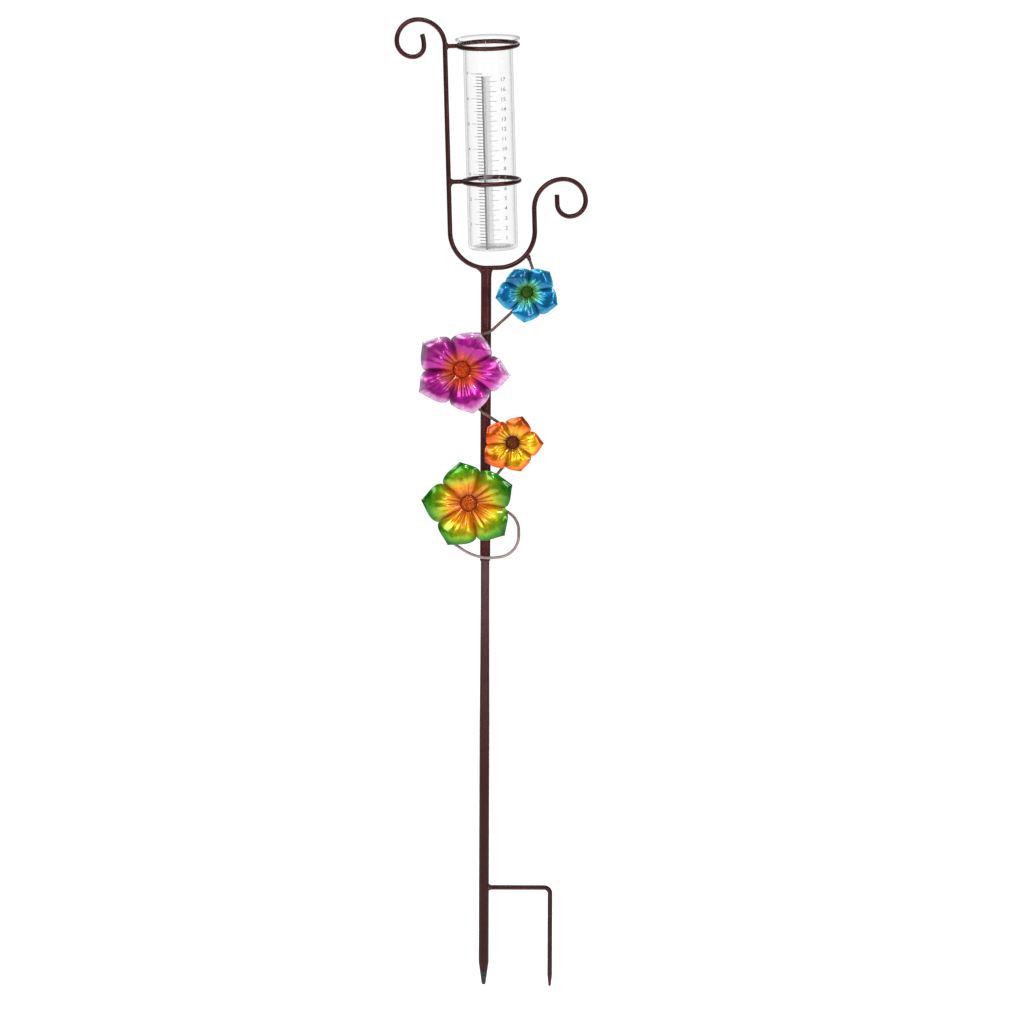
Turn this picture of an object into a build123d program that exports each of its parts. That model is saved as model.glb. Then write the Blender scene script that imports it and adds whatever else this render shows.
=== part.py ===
from build123d import *
import math
import os

# Rain gauge on a garden stake, in millimetres.
# +X towards the ground prong, -Y towards the flowers' faces, +Z up along the pole.
# The origin is on the pole's axis, at the soil line just under the prong's arm.

# ---- stake ----
SOIL_ABOVE_TIP = 94.0       # height of the soil line above the pole's point
POINT_LENGTH = 22.6         # tapered point of the pole
POINT_END_R = 2.0
POLE_R = 5.1                # parallel part of the lower pole, in the soil
POLE_DRAWN_R = 5.05         # the tube is drawn down very slightly above the prong
POLE_NECK_R = 4.35          # neck under the joint
NECK_TAPER_FROM = 174.0     # heights above the soil line
NECK_TAPER_TO = 300.0
JOINT_Z = 337.0             # where the upper tube sits on the neck's shoulder
SPIGOT_R = 4.12
SPIGOT_LENGTH = 70.0
LOWER_BORE_R = 3.2

# ---- upper tube ----
UPPER_R = 5.25
UPPER_BORE_R = 4.2          # 0.08 mm of running clearance on the spigot
FRAME_Z = 633.7             # where the frame's bottom bar sits in the pole's top
FRAME_BEADS = ((-1, 4.2), (1, 3.0))  # side of the pole and reach of each fillet of weld
FRAME_BEAD_HALF = 3.5

# ---- prong ----
PRONG_R = 2.4
PRONG_X = 66.5              # prong leg's axis
PRONG_ARM_Z = 4.6
PRONG_BEND_R = 6.0
PRONG_TIP_Z = -95.5
PRONG_POINT_LENGTH = 11.0
PRONG_POINT_R = 1.3
PRONG_BEAD = (2.6, 3.9, 3.9)  # half sizes of the weld round the arm

# ---- scrolled frame, in its own leaning plane, from the top of the pole ----
HEAD_LEAN = 1.75            # degrees, towards -X
ROD_R = 2.4
LEFT_LEG_X = -35.3
RIGHT_LEG_X = 49.7
U_BOTTOM_Z = -0.4
CORNER_R = 37.0
LEFT_LEG_TOP_Z = 225.9
RIGHT_LEG_TOP_Z = 57.8
LEFT_HOOK_R = 26.8          # top of the left leg, over to the left
LEFT_OUTER_R = 21.3
LEFT_OUTER_DROP = 5.5       # length of the hook's far side
LEFT_INNER_R = 16.3
LEFT_CURL_R = 10.8
LEFT_END_R = 44.3           # the nearly straight end inside the curl
LEFT_END_TURN = 15.4        # degrees
RIGHT_HOOK_R = 29.8         # top of the right leg, over to the right
RIGHT_OUTER_R = 22.0
RIGHT_RISE = 7.8            # height of the right scroll's middle above the leg's top
RIGHT_INNER_R = 16.0
RIGHT_CURL_R = 12.6
RIGHT_END_LENGTH = 9.7

# ---- rings and tube, along the frame's leaning axis ----
TUBE_X = 7.6
TUBE_R = 25.0
TUBE_WALL = 2.0
TUBE_BOTTOM_Z = 19.0
TUBE_FLOOR = 3.0
TUBE_CORNER_R = 4.0
RIM_R = 33.0
FLARE_START_Z = 216.9
UPPER_RING_R = 30.0
UPPER_RING_Z = 224.9
UPPER_RING_BEND_R = 4.0
LOWER_RING_R = 28.0
LOWER_RING_Z = 87.7
LOWER_RING_BEND_R = 5.0
RING_WIRE_R = 2.3
RING_END_GAP = 9.0          # degrees left open before the ring's end meets its stem
RING_BEAD = (2.4, 3.3, 3.7)  # half sizes of the weld on the left leg

# ---- vines ----
VINE_R = 1.5
VINE_Y = -6.9               # the vines pass in front of the pole
GAP = 0.02                  # between welded pieces

# ---- flowers ----
PETAL_THICK = 0.7
PETAL_RISE = 0.17           # of the flower's radius, from its centre to the petals' crest
BUTTON_RISE = 0.22          # of the button's diameter
RIVET_R = 1.4
RIVET_HEAD_R = 2.6
RIVET_HEAD = 1.0
RIVET_GAP = 0.35            # between the vine and the rivet's head, filled by the weld


class Flower:
    """A stamped five-petal flower. Petals are (direction in degrees, tip radius) and notches are
    (direction, radius) between one petal and the next, seen from the front."""

    def __init__(self, name, x, z, button_r, tilt, petals, notches):
        self.name = name
        self.x = x
        self.z = z
        self.button_r = button_r
        self.tilt = tilt
        self.petals = petals
        self.notches = notches
        self.radius = max(r for _, r in petals)


FLOWERS = [
    Flower(
        "blue", 40.9, 610.4, 6.3, (-2, 3, 0),
        [(43, 30.6), (119, 26.9), (189.5, 32.3), (264, 30.4), (338, 33.0)],
        [(82.5, 21.3), (154, 23.8), (228, 22.0), (301, 24.3), (9.5, 24.6)],
    ),
    Flower(
        "purple", -24.2, 532.0, 9.2, (-2, -2, 0),
        [(64, 42.0), (144.5, 48.0), (208, 48.3), (285, 45.8), (353.5, 49.6)],
        [(110, 30.8), (182, 35.2), (248.7, 31.8), (323.3, 34.3), (24.8, 31.8)],
    ),
    Flower(
        "orange", 27.1, 458.0, 7.0, (-1, 3, 0),
        [(-1, 31.0), (70.7, 28.6), (146, 30.6), (215, 34.2), (285.6, 29.6)],
        [(33, 20.2), (111, 20.6), (184, 24.2), (252, 24.0), (324.6, 21.7)],
    ),
    Flower(
        "green", -16.8, 396.5, 8.8, (-2, -2, 0),
        [(23.6, 48.2), (101.4, 42.8), (176, 47.4), (243.8, 46.4), (319, 48.4)],
        [(69.4, 32.8), (142.5, 31.0), (212.5, 34.2), (283.7, 34.1), (353.8, 35.6)],
    ),
]

# Routes of the two vine wires, as (x, z) from the origin.
FLOWER_VINE = [
    (47.9, 620.5),
    (28.5, 592.0),
    (5.0, 570.3),
    (-17.0, 562.5),
    (-29.0, 549.0),
    (-22.0, 520.0),
    (-12.0, 494.3),
    (20.0, 473.2),
    (28.5, 462.0),
    (25.5, 442.0),
    (3.0, 415.0),
]
FLOWER_VINE_TOP = [(42.4, -1.2, 645.0), (47.2, -3.7, 631.5)]  # from the frame out to the vine's plane
FLOWER_VINE_BENDS = [30, 14, 80, 14, 30, 18, 120, 40, 35, 17, 30]
SPIRAL_VINE = [
    (-3.4, 421.0),
    (-15.0, 428.5),
    (-36.0, 415.0),
    (-41.5, 380.0),
    (-41.0, 361.1),
    (-6.7, 338.4),
    (33.7, 344.1),
    (33.6, 381.2),
    (12.0, 392.7),
    (-16.8, 396.5),
]
SPIRAL_VINE_BENDS = [16, 20, 30, 18, 50, 21.6, 21.6, 40]

# Weld beads on the vines: centre and radius.
VINE_BEADS = [
    ((42.0, -1.4, 645.3), 2.8),
    ((0.3, -6.5, 568.6), 3.1),
    ((0.0, -6.5, 486.4), 3.1),
    ((2.6, -6.4, 414.6), 2.8),
    ((-3.6, -6.3, 421.0), 2.8),
    ((0.0, -6.5, 339.6), 3.0),
]
FLOWER_BEAD_R = 3.0


def rod(path, radius):
    """A round bar along a smooth path."""
    return sweep(Plane(path @ 0, z_dir=path % 0) * Circle(radius), path=path)


def biggest(shape):
    return max(shape.solids(), key=lambda s: s.volume)


def arc(cx, cz, radius, start, size):
    """An arc in the frame's XZ plane, angles from +X towards +Z."""
    return Plane.XZ * CenterArc((cx, cz), radius, start, size)


def straight(x0, z0, x1, z1):
    return Line((x0, 0, z0), (x1, 0, z1))


def on_head(shape):
    """From the frame's own leaning axes to the object's."""
    return Pos(0, 0, FRAME_Z) * Rot(0, -HEAD_LEAN, 0) * shape


def revolved(points):
    """A solid of revolution about Z from an (r, z) outline of straight lines."""
    outline = make_face(Plane.XZ * Polyline(points, close=True))
    return revolve(outline, Axis.Z)


def make_lower_pole():
    tip = -SOIL_ABOVE_TIP
    top = JOINT_Z + SPIGOT_LENGTH
    outside = revolved([
        (0, tip),
        (POINT_END_R - 0.6, tip),
        (POINT_END_R, tip + 0.8),
        (POLE_R, tip + POINT_LENGTH),
        (POLE_R, 0),
        (POLE_DRAWN_R, NECK_TAPER_FROM),
        (POLE_NECK_R, NECK_TAPER_TO),
        (POLE_NECK_R, JOINT_Z),
        (SPIGOT_R, JOINT_Z),
        (SPIGOT_R, top),
        (0, top),
    ])
    bore_foot = tip + POINT_LENGTH + 4
    inside = revolved([
        (0, bore_foot),
        (LOWER_BORE_R + 0.6, bore_foot + 3),
        (LOWER_BORE_R + 0.6, NECK_TAPER_FROM),
        (LOWER_BORE_R, NECK_TAPER_TO),
        (LOWER_BORE_R, top),
        (0, top),
    ])
    return biggest(outside - inside)


def make_prong():
    corner_x = PRONG_X - PRONG_BEND_R
    arm = Line((0, 0, PRONG_ARM_Z), (corner_x, 0, PRONG_ARM_Z))
    bend = arc(corner_x, PRONG_ARM_Z - PRONG_BEND_R, PRONG_BEND_R, 90, -90)
    bent = rod(Wire([arm, bend]), PRONG_R)
    leg_top = PRONG_ARM_Z - PRONG_BEND_R
    point_top = PRONG_TIP_Z + PRONG_POINT_LENGTH
    leg = Pos(PRONG_X, 0, (leg_top + point_top) / 2) * Cylinder(PRONG_R, leg_top - point_top)
    point = Pos(PRONG_X, 0, 0) * revolved([
        (0, PRONG_TIP_Z),
        (PRONG_POINT_R - 0.5, PRONG_TIP_Z),
        (PRONG_POINT_R, PRONG_TIP_Z + 0.6),
        (PRONG_R, point_top),
        (0, point_top),
    ])
    pole = Pos(0, 0, PRONG_ARM_Z) * Cylinder(POLE_R + GAP, 4 * PRONG_R)
    return biggest(bent + leg + point - pole)


def make_prong_weld():
    bead = Pos(POLE_R + 0.5, 0, PRONG_ARM_Z) * scale(Sphere(1), by=PRONG_BEAD)
    pole = Pos(0, 0, PRONG_ARM_Z) * Cylinder(POLE_R + GAP, 6 * PRONG_R)
    arm = Pos(2 * POLE_R, 0, PRONG_ARM_Z) * Rot(0, 90, 0) * Cylinder(PRONG_R + GAP, 8 * POLE_R)
    return biggest(bead - pole - arm)


def frame_path():
    """The frame's centreline, from the left scroll's inner end to the right scroll's."""
    u_left = LEFT_LEG_X + CORNER_R
    u_right = RIGHT_LEG_X - CORNER_R
    corner_z = U_BOTTOM_Z + CORNER_R
    left_top = LEFT_LEG_TOP_Z
    right_top = RIGHT_LEG_TOP_Z
    far_z = left_top + LEFT_OUTER_DROP
    hook_x = LEFT_LEG_X - LEFT_HOOK_R
    curl_x = hook_x + LEFT_INNER_R - LEFT_OUTER_R
    end_x = curl_x + LEFT_CURL_R - LEFT_END_R
    right_hook_x = RIGHT_LEG_X + RIGHT_HOOK_R
    right_inner_x = right_hook_x + RIGHT_OUTER_R - RIGHT_INNER_R
    right_curl_z = right_top + RIGHT_RISE - RIGHT_INNER_R + RIGHT_CURL_R
    right_end_x = right_inner_x - RIGHT_CURL_R
    return Wire([
        arc(end_x, left_top, LEFT_END_R, LEFT_END_TURN, -LEFT_END_TURN),
        arc(curl_x, left_top, LEFT_CURL_R, 0, -90),
        arc(curl_x, far_z, LEFT_INNER_R, -90, -90),
        arc(hook_x, far_z, LEFT_OUTER_R, 180, -90),
        arc(hook_x, left_top, LEFT_HOOK_R, 90, -90),
        straight(LEFT_LEG_X, left_top, LEFT_LEG_X, corner_z),
        arc(u_left, corner_z, CORNER_R, 180, 90),
        straight(u_left, U_BOTTOM_Z, u_right, U_BOTTOM_Z),
        arc(u_right, corner_z, CORNER_R, -90, 90),
        straight(RIGHT_LEG_X, corner_z, RIGHT_LEG_X, right_top),
        arc(right_hook_x, right_top, RIGHT_HOOK_R, 180, -90),
        arc(right_hook_x, right_top + RIGHT_RISE, RIGHT_OUTER_R, 90, -90),
        arc(right_inner_x, right_top + RIGHT_RISE, RIGHT_INNER_R, 0, -90),
        arc(right_inner_x, right_curl_z, RIGHT_CURL_R, -90, -90),
        straight(right_end_x, right_curl_z, right_end_x, right_curl_z + RIGHT_END_LENGTH),
    ])


def ring_path(radius, bend_r, z):
    """A radial stem from the left leg, a small bend to the front and nearly a full turn."""
    stem_end = TUBE_X - math.sqrt(radius ** 2 + 2 * radius * bend_r)
    lead = math.degrees(math.asin(bend_r / (radius + bend_r)))
    level = Plane.XY.offset(z)
    return Wire([
        Line((LEFT_LEG_X, 0, z), (stem_end, 0, z)),
        level * CenterArc((stem_end, -bend_r), bend_r, 90, lead - 90),
        level * CenterArc((TUBE_X, 0), radius, 180 + lead, 360 - lead - RING_END_GAP),
    ])


def make_ring(radius, bend_r, z, frame_cut):
    return biggest(rod(ring_path(radius, bend_r, z), RING_WIRE_R) - frame_cut)


def make_ring_welds(frame_cut):
    beads = []
    for z in (UPPER_RING_Z, LOWER_RING_Z):
        blob = Pos(LEFT_LEG_X + ROD_R + 0.4, 0, z) * scale(Sphere(1), by=RING_BEAD)
        stem = Pos(LEFT_LEG_X, 0, z) * Rot(0, 90, 0) * Cylinder(RING_WIRE_R + GAP, 12 * ROD_R)
        beads.append(biggest(blob - frame_cut - stem))
    return Compound(beads)


def make_glass_tube():
    """A round-cornered tube whose flared rim rests on the upper ring."""
    wire = (UPPER_RING_R, UPPER_RING_Z)
    # the flare's arc starts upright at the tube's wall and just clears the ring's wire
    flare_r = flare_radius(wire)
    out_cx = TUBE_R + flare_r
    sweep_angle = math.acos(1 - (RIM_R - 0.8 - TUBE_R) / flare_r)
    rim_x = out_cx - flare_r * math.cos(sweep_angle)
    rim_z = FLARE_START_Z + flare_r * math.sin(sweep_angle)
    mid = sweep_angle / 2
    in_r = flare_r + TUBE_WALL
    in_x = out_cx - in_r * math.cos(sweep_angle)
    in_z = FLARE_START_Z + in_r * math.sin(sweep_angle)
    bottom = TUBE_BOTTOM_Z
    corner = TUBE_CORNER_R
    bore_r = TUBE_R - TUBE_WALL
    floor_z = bottom + TUBE_FLOOR
    side = math.sqrt(0.5)

    def at(r, z):
        return (r, 0, z)

    def on_arc(cx, cz, radius, angle):
        return at(cx - radius * math.cos(angle), cz + radius * math.sin(angle))

    inner_corner = corner - 1.2
    outline = [
        Line(at(0, bottom), at(TUBE_R - corner, bottom)),
        ThreePointArc(
            at(TUBE_R - corner, bottom),
            at(TUBE_R - corner + corner * side, bottom + corner - corner * side),
            at(TUBE_R, bottom + corner),
        ),
        Line(at(TUBE_R, bottom + corner), at(TUBE_R, FLARE_START_Z)),
        ThreePointArc(
            at(TUBE_R, FLARE_START_Z),
            on_arc(out_cx, FLARE_START_Z, flare_r, mid),
            at(rim_x, rim_z),
        ),
        ThreePointArc(
            at(rim_x, rim_z),
            at((rim_x + in_x) / 2 + 0.7, (rim_z + in_z) / 2 + 0.45),
            at(in_x, in_z),
        ),
        ThreePointArc(
            at(in_x, in_z),
            on_arc(out_cx, FLARE_START_Z, in_r, mid),
            at(bore_r, FLARE_START_Z),
        ),
        Line(at(bore_r, FLARE_START_Z), at(bore_r, floor_z + inner_corner)),
        ThreePointArc(
            at(bore_r, floor_z + inner_corner),
            at(bore_r - inner_corner + inner_corner * side, floor_z + inner_corner - inner_corner * side),
            at(bore_r - inner_corner, floor_z),
        ),
        Line(at(bore_r - inner_corner, floor_z), at(0, floor_z)),
        Line(at(0, floor_z), at(0, bottom)),
    ]
    glass = revolve(make_face(outline), Axis.Z)
    return Pos(TUBE_X, 0, 0) * glass


def flare_radius(wire):
    """Radius of the flare's underside that passes the ring's wire with a small gap."""
    rise = wire[1] - FLARE_START_Z
    reach = wire[0] - TUBE_R
    clear = RING_WIRE_R + 2 * GAP
    # distance from the arc's centre to the wire's centre is the radius less the wire's
    return (reach ** 2 + rise ** 2 - clear ** 2) / (2 * (reach - clear))


def make_upper_pole(frame_cut):
    tube = Pos(0, 0, (JOINT_Z + FRAME_Z) / 2) * Cylinder(UPPER_R, FRAME_Z - JOINT_Z)
    bore = Pos(0, 0, (JOINT_Z + FRAME_Z) / 2) * Cylinder(UPPER_BORE_R, FRAME_Z - JOINT_Z)
    return biggest(tube - bore - frame_cut)


def make_frame_weld(frame_cut):
    beads = []
    pole = Pos(0, 0, FRAME_Z) * Cylinder(UPPER_R + GAP, 8 * UPPER_R)
    for side, reach in FRAME_BEADS:
        bead = scale(Sphere(1), by=(reach, FRAME_BEAD_HALF, FRAME_BEAD_HALF))
        blob = Pos(side * (UPPER_R + 0.6), 0, FRAME_Z - FRAME_BEAD_HALF) * bead
        beads.append(biggest(blob - frame_cut - pole))
    return Compound(beads)


def wire_route(points, bends, lead=()):
    """A bent wire in the vines' plane, with any points that lead to it."""
    return FilletPolyline(*lead, *[(x, VINE_Y, z) for x, z in points], radius=bends)


def face_forward(flower, shape):
    """From a flower's own axes, with +Z out of its face, to the vine it is riveted to."""
    back = VINE_Y - VINE_R - RIVET_GAP
    facing = Plane(origin=(flower.x, back, flower.z), x_dir=(1, 0, 0), z_dir=(0, -1, 0))
    return facing.location * Rot(*flower.tilt) * shape


def petal_outline(flower):
    """Each petal swells from its notches to a shoulder and then draws in to a pointed tip."""
    edges = []
    count = len(flower.petals)
    for i in range(count):
        tip_angle, tip_r = flower.petals[i]
        for notch_angle, notch_r in (flower.notches[i - 1], flower.notches[i]):
            turn = (notch_angle - tip_angle + 180) % 360 - 180
            shoulder_r = notch_r + 0.56 * (tip_r - notch_r)
            near_r = notch_r + 0.76 * (tip_r - notch_r)
            notch = polar(notch_r, tip_angle + turn)
            shoulder = polar(shoulder_r, tip_angle + 0.62 * turn)
            near = polar(near_r, tip_angle + 0.2 * turn)
            edges.append(ThreePointArc(notch, shoulder, near))
            edges.append(Line(near, polar(tip_r, tip_angle)))
    return make_face(edges)


def polar(radius, angle):
    return (radius * math.cos(math.radians(angle)), radius * math.sin(math.radians(angle)))


def make_petals(flower):
    """A shallow dish of sheet metal cut to the flower's outline, its crest part way out."""
    big = flower.radius + 2
    rise = PETAL_RISE * flower.radius
    hub = flower.button_r
    base = RIVET_HEAD
    lower = [
        (RIVET_R + 0.1, base),
        (hub, base),
        (0.55 * big, base + rise),
        (big, base + 0.8 * rise),
    ]
    upper = [(r, z + PETAL_THICK) for r, z in reversed(lower)]
    dish = revolved(lower + upper)
    blank = extrude(petal_outline(flower), 4 * rise + base)
    return biggest(dish & blank)


def make_button(flower):
    """A domed button with a flat back against the petals."""
    back = RIVET_HEAD + PETAL_THICK + GAP
    rise = 2 * BUTTON_RISE * flower.button_r
    dome_r = (flower.button_r ** 2 + rise ** 2) / (2 * rise)
    dome = Pos(0, 0, back + rise - dome_r) * Sphere(dome_r)
    keep = Pos(0, 0, back + rise) * Cylinder(flower.button_r * 0.97, 2 * rise)
    return biggest(dome & keep)


def make_rivet(flower):
    head = Pos(0, 0, RIVET_HEAD / 2) * Cylinder(RIVET_HEAD_R, RIVET_HEAD - GAP)
    shank = Pos(0, 0, (RIVET_HEAD + PETAL_THICK) / 2) * Cylinder(RIVET_R, RIVET_HEAD + PETAL_THICK - GAP)
    return head + shank


def make_vine_welds(cuts):
    beads = []
    for centre, radius in VINE_BEADS:
        blob = Pos(*centre) * Rot(25, 0, 60) * Sphere(radius)
        for cut in cuts:
            blob = blob - cut
        beads.append(biggest(blob))
    for flower in FLOWERS:
        blob = Pos(flower.x, VINE_Y, flower.z) * Sphere(FLOWER_BEAD_R)
        for cut in cuts:
            blob = blob - cut
        head = Pos(0, 0, 5) * Cylinder(RIVET_HEAD_R + 3, 10 + 2 * GAP)
        beads.append(biggest(blob - face_forward(flower, head)))
    return Compound(beads)


def main():
    os.makedirs("parts", exist_ok=True)
    frame = frame_path()
    scroll_frame = on_head(rod(frame, ROD_R))
    frame_cut_local = rod(frame, ROD_R + GAP)
    frame_cut = on_head(frame_cut_local)
    flower_route = wire_route(FLOWER_VINE, FLOWER_VINE_BENDS, FLOWER_VINE_TOP)
    spiral_route = wire_route(SPIRAL_VINE, SPIRAL_VINE_BENDS)
    pole_cut = Pos(0, 0, FRAME_Z / 2) * Cylinder(UPPER_R + GAP, FRAME_Z)
    vine_cuts = [
        rod(flower_route, VINE_R + GAP),
        rod(spiral_route, VINE_R + GAP),
        frame_cut,
        pole_cut,
    ]
    nodes = {
        "lower_pole": make_lower_pole(),
        "ground_prong": make_prong(),
        "prong_weld": make_prong_weld(),
        "upper_pole": make_upper_pole(frame_cut),
        "scroll_frame": scroll_frame,
        "frame_weld": make_frame_weld(frame_cut),
        "upper_ring": on_head(
            make_ring(UPPER_RING_R, UPPER_RING_BEND_R, UPPER_RING_Z, frame_cut_local)
        ),
        "lower_ring": on_head(
            make_ring(LOWER_RING_R, LOWER_RING_BEND_R, LOWER_RING_Z, frame_cut_local)
        ),
        "ring_welds": on_head(make_ring_welds(frame_cut_local)),
        "glass_tube": on_head(make_glass_tube()),
        "flower_vine": biggest(rod(flower_route, VINE_R) - frame_cut),
        "spiral_vine": rod(spiral_route, VINE_R),
        "vine_welds": make_vine_welds(vine_cuts),
    }
    for flower in FLOWERS:
        nodes[flower.name + "_petals"] = face_forward(flower, make_petals(flower))
        nodes[flower.name + "_centre"] = face_forward(flower, make_button(flower))
        nodes[flower.name + "_rivet"] = face_forward(flower, make_rivet(flower))
    for name, shape in nodes.items():
        export_step(shape, "parts/" + name + ".step")


main()
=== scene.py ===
"""Looks of the rain gauge: enamelled flowers, bronze paint, clear glass and its printed scale."""

import math
import random

import bmesh
import bpy
from mathutils import Matrix, Vector, noise


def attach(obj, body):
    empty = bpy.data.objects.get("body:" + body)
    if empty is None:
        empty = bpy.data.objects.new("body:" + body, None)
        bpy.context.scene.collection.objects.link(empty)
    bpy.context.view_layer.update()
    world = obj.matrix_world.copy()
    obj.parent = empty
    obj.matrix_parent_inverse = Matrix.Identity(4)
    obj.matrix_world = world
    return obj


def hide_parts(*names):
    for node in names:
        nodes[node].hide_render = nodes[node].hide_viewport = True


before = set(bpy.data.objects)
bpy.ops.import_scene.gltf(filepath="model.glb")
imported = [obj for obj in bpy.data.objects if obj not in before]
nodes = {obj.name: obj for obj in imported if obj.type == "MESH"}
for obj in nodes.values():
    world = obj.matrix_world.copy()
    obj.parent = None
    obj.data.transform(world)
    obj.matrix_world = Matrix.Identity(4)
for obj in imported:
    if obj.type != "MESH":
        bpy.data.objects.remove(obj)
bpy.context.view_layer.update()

# ---------------------------------------------------------------- sizes, in metres
MM = 0.001
FRAME_Z = 633.7 * MM            # foot of the leaning head, above the soil
HEAD_LEAN = math.radians(1.75)
JOINT_Z = 337.0 * MM            # where the two halves of the pole meet
TUBE_X = 7.6 * MM               # places from here on are in the leaning head
TUBE_R = 25.0 * MM
TUBE_WALL = 2.0 * MM
TUBE_BOTTOM = 19.0 * MM
TUBE_FLOOR = 3.0 * MM
RIM_R = 33.0 * MM
FLARE_START = 216.9 * MM
UPPER_RING_R = 30.0 * MM
UPPER_RING_Z = 224.9 * MM
LOWER_RING_Z = 87.7 * MM
RING_WIRE_R = 2.3 * MM
VINE_R = 1.5 * MM
VINE_Y = -6.9 * MM
RIVET_GAP = 0.35 * MM
RIVET_HEAD = 1.0 * MM

ON_HEAD = Matrix.Translation((0, 0, FRAME_Z)) @ Matrix.Rotation(-HEAD_LEAN, 4, "Y")


def smooth(a, b, x):
    """0 below a, 1 above b, and a smooth step between."""
    t = min(1.0, max(0.0, (x - a) / (b - a)))
    return t * t * (3 - 2 * t)


def mix(a, b, t):
    """The colour t of the way from a to b."""
    return tuple(p + (q - p) * t for p, q in zip(a, b))


def linear(rgb):
    """A linear colour from one written as 0-255 sRGB."""
    out = []
    for c in rgb:
        c = c / 255
        out.append(c / 12.92 if c <= 0.04045 else ((c + 0.055) / 1.055) ** 2.4)
    return tuple(out)


# ---------------------------------------------------------------- materials
class Shader:
    """A material with a Principled shader, and short calls that add and link its nodes."""

    def __init__(self, name):
        self.material = bpy.data.materials.new(name)
        self.material.use_nodes = True
        self.tree = self.material.node_tree
        self.main = self.tree.nodes["Principled BSDF"]
        self.coords = self.node("ShaderNodeTexCoord").outputs["Object"]

    def node(self, kind, **values):
        n = self.tree.nodes.new(kind)
        for key, value in values.items():
            setattr(n, key, value)
        return n

    def link(self, a, b):
        self.tree.links.new(a, b)

    def feed(self, socket, source):
        """Links a node's output to a socket of the Principled shader."""
        self.link(source, self.main.inputs[socket])

    def set(self, **values):
        """Sets sockets of the Principled shader, their spaces written as underscores."""
        for key, value in values.items():
            self.main.inputs[key.replace("_", " ")].default_value = value

    def noise(self, scale, detail=3.0, rough=0.5, vector=None):
        n = self.node("ShaderNodeTexNoise")
        n.inputs["Scale"].default_value = scale
        n.inputs["Detail"].default_value = detail
        n.inputs["Roughness"].default_value = rough
        self.link(vector or self.coords, n.inputs["Vector"])
        return n.outputs["Fac"]

    def ramp(self, fac, stops):
        n = self.node("ShaderNodeValToRGB")
        while len(n.color_ramp.elements) < len(stops):
            n.color_ramp.elements.new(0.5)
        for e, (place, colour) in zip(n.color_ramp.elements, stops):
            e.position = place
            e.color = (*colour, 1.0)
        self.link(fac, n.inputs["Fac"])
        return n.outputs["Color"]

    def grey_ramp(self, fac, stops):
        """A ramp of greys, each stop a place and one value."""
        return self.ramp(fac, [(place, (v, v, v)) for place, v in stops])

    def blend(self, fac, a, b, how="MIX"):
        """Two colours mixed; each input is a node's output, a number or a colour."""
        n = self.node("ShaderNodeMix", data_type="RGBA", blend_type=how)
        factor, first, second = n.inputs[0], n.inputs[6], n.inputs[7]
        for socket, value in ((factor, fac), (first, a), (second, b)):
            if hasattr(value, "links"):
                self.link(value, socket)
            elif isinstance(value, (int, float)):
                socket.default_value = value
            else:
                socket.default_value = (*value, 1.0)
        return n.outputs[2]

    def math(self, how, a, b=0.0):
        n = self.node("ShaderNodeMath", operation=how)
        for socket, value in ((n.inputs[0], a), (n.inputs[1], b)):
            if hasattr(value, "links"):
                self.link(value, socket)
            else:
                socket.default_value = value
        return n.outputs[0]

    def height(self, *pairs):
        """Bumps from (height output, distance in metres, strength), one on the next."""
        last = None
        for source, distance, strength in pairs:
            bump = self.node("ShaderNodeBump")
            bump.inputs["Distance"].default_value = distance
            bump.inputs["Strength"].default_value = strength
            self.link(source, bump.inputs["Height"])
            if last is not None:
                self.link(last, bump.inputs["Normal"])
            last = bump.outputs["Normal"]
        self.feed("Normal", last)
        return last

    def along_z(self, low, high):
        """0 at the height low and 1 at high."""
        split = self.node("ShaderNodeSeparateXYZ")
        self.link(self.coords, split.inputs[0])
        span = self.node("ShaderNodeMapRange")
        span.inputs["From Min"].default_value = low
        span.inputs["From Max"].default_value = high
        self.link(split.outputs["Z"], span.inputs["Value"])
        return span.outputs[0]


def bronze_paint(name, dark, light, rough=0.34):
    """Semi-gloss bronze paint over tube and rod: mottled, faintly pitted, mostly metallic."""
    s = Shader(name)
    patches = s.noise(38, 4, 0.55)
    fine = s.noise(520, 3, 0.6)
    base = s.ramp(patches, [(0.3, dark), (0.7, light)])
    flecks = s.ramp(fine, [(0.35, (0.8, 0.78, 0.78)), (0.7, (1.25, 1.2, 1.2))])
    s.feed("Base Color", s.blend(1.0, base, flecks, "MULTIPLY"))
    s.feed("Roughness", s.grey_ramp(s.noise(140, 4), [(0.3, rough - 0.07), (0.75, rough + 0.1)]))
    s.set(Metallic=0.7, Specular_IOR_Level=0.35, Coat_Weight=0.2, Coat_Roughness=0.22)
    s.height((fine, 0.00012, 0.5), (s.noise(1900, 2), 0.00004, 0.5))
    return s


WORN_FROM = -83.5 * MM       # the paint is gone below this
WORN_TO = -79.5 * MM
DARK_FROM = -60.0 * MM       # darkest here, lightest at the pole's joint


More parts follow.
